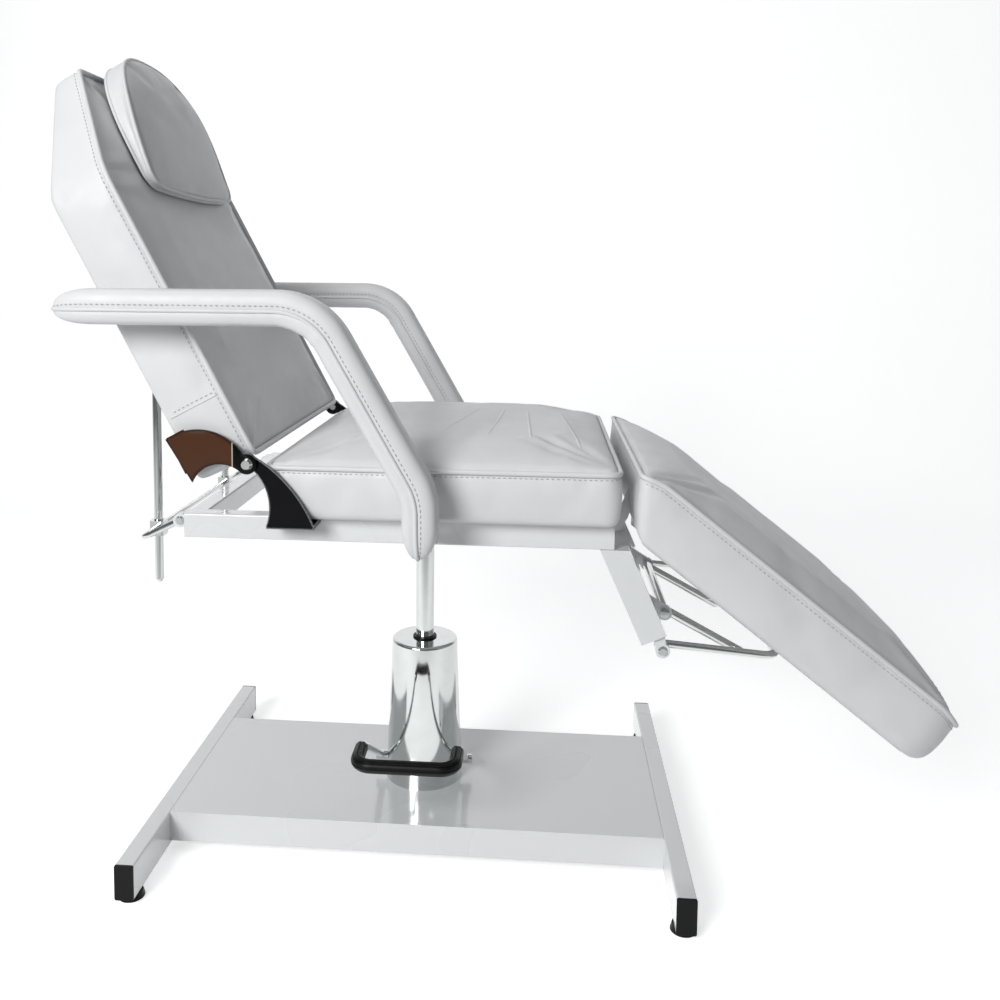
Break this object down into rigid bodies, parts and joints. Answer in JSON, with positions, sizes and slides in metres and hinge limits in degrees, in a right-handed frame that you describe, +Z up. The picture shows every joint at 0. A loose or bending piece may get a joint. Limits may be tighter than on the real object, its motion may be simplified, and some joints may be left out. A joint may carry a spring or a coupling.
{
  "type": "beauty treatment chair",
  "caption": "Padded beauty treatment chair: reclining back, tilting leg rest and curved armrests on a swivelling hydraulic column with a foot pedal and an H-shaped base.",
  "frame": {"origin": "on the floor, under the middle of the chair's bounding box", "axes": "+Z up, +X towards the foot end, +Y to the sitter's left"},
  "size_m": [1.4082, 0.748, 1.3236],
  "materials": {
    "white_paint": "satin",
    "black_plastic": "matte",
    "white_plastic": "matte",
    "steel": "brushed",
    "chrome": "polished",
    "black_rubber": "ribbed",
    "white_vinyl": "fine grain",
    "lined_board": "plain",
    "hook_tape": "looped",
    "black_gloss": "gloss",
    "brown_gloss": "gloss"
  },
  "bodies": {
    "base": {"base_leg_head": "white_paint", "base_leg_foot": "white_paint", "leg_end_caps": "black_plastic", "levelling_feet": "black_plastic", "base_plate": "white_paint", "pump_flange": "steel", "flange_bolts": "steel", "pump_cylinder": "steel", "column_cover": "chrome", "column_collar": "black_rubber"},
    "pedal": {"pedal_bar": "chrome", "pedal_shaft": "chrome", "pedal_sleeve": "black_rubber"},
    "piston": {"piston_rod": "chrome"},
    "seat": {"seat_rail_right": "white_paint", "seat_rail_left": "white_paint", "rail_end_plugs": "white_plastic", "rear_cross_tube": "white_paint", "front_cross_tube": "white_paint", "down_tube_right": "white_paint", "down_tube_left": "white_paint", "lower_cross_tube": "white_paint", "column_plate": "white_paint", "column_socket": "white_paint", "socket_gussets": "white_paint", "frame_lugs": "white_paint", "stay_bail_bolts": "chrome", "prop_bolts": "chrome", "stay_bail_arms": "chrome", "seat_board": "lined_board", "seat_cushion": "white_vinyl", "board_spacers": "white_plastic", "lower_hinge_plates": "black_gloss", "hinge_bolts": "chrome", "leg_hinge_brackets": "white_paint", "leg_hinge_pins": "steel", "release_ears": "white_paint", "armrest_pad_right": "white_vinyl", "armrest_pad_left": "white_vinyl", "armrest_cores": "steel", "armrest_stubs": "steel", "armrest_brackets": "white_paint", "armrest_screws": "steel"},
    "back": {"back_board": "lined_board", "back_cushion": "white_vinyl", "head_pillow": "white_vinyl", "pillow_tapes": "hook_tape", "upper_hinge_plates": "brown_gloss", "stay_ears": "white_paint"},
    "stays": {"stay_crossbar": "chrome", "stay_posts": "chrome", "stay_end_stops": "chrome"},
    "clamps": {"stay_clamps": "chrome", "clamp_link_bar": "chrome"},
    "leg_rest": {"leg_board": "lined_board", "leg_cushion": "white_vinyl", "leg_hinge_ears": "white_paint"},
    "leg_prop": {"leg_prop_bail": "chrome"},
    "release_lever": {"release_shaft": "chrome", "release_levers": "chrome"}
  },
  "joints": [
    {"name": "pump_pedal", "type": "hinge", "parent": "base", "child": "pedal", "pos_m": [-0.1295, 0, 0.094], "axis": [1, 0, 0], "range_deg": [0, 22], "stiffness_Nm_per_rad": 15, "springref_deg": -8.59},
    {"name": "column_lift", "type": "slide", "parent": "base", "child": "piston", "axis": [0, 0, 1], "range_m": [-0.1, 0.05]},
    {"name": "seat_swivel", "type": "hinge", "parent": "piston", "child": "seat", "pos_m": [-0.1295, 0, 0.54], "axis": [0, 0, 1], "continuous": true},
    {"name": "back_recline", "type": "hinge", "parent": "seat", "child": "back", "pos_m": [-0.3595, 0, 0.685], "axis": [0, -1, 0], "range_deg": [-8, 62]},
    {"name": "stay_swing", "type": "hinge", "parent": "back", "child": "stays", "pos_m": [-0.5485, 0, 0.82], "axis": [0, -1, 0], "range_deg": [-31, 4]},
    {"name": "clamp_turn", "type": "hinge", "parent": "seat", "child": "clamps", "pos_m": [-0.5485, 0, 0.55], "axis": [0, -1, 0], "range_deg": [-4, 31]},
    {"name": "leg_tilt", "type": "hinge", "parent": "seat", "child": "leg_rest", "pos_m": [0.2305, 0, 0.664], "axis": [0, -1, 0], "range_deg": [-6, 38]},
    {"name": "prop_swing", "type": "hinge", "parent": "seat", "child": "leg_prop", "pos_m": [0.2585, 0, 0.404], "axis": [0, -1, 0], "range_deg": [-12.3, 77.9]},
    {"name": "leg_release", "type": "hinge", "parent": "seat", "child": "release_lever", "pos_m": [0.2745, 0, 0.424], "axis": [0, 1, 0], "range_deg": [0, 10], "stiffness_Nm_per_rad": 5, "springref_deg": -11.46}
  ],
  "couplings": [
    {"joint": "stay_swing", "follows": "back_recline", "ratio": -0.5},
    {"joint": "clamp_turn", "follows": "back_recline", "ratio": 0.5},
    {"joint": "prop_swing", "follows": "leg_tilt", "ratio": 2.05}
  ]
}
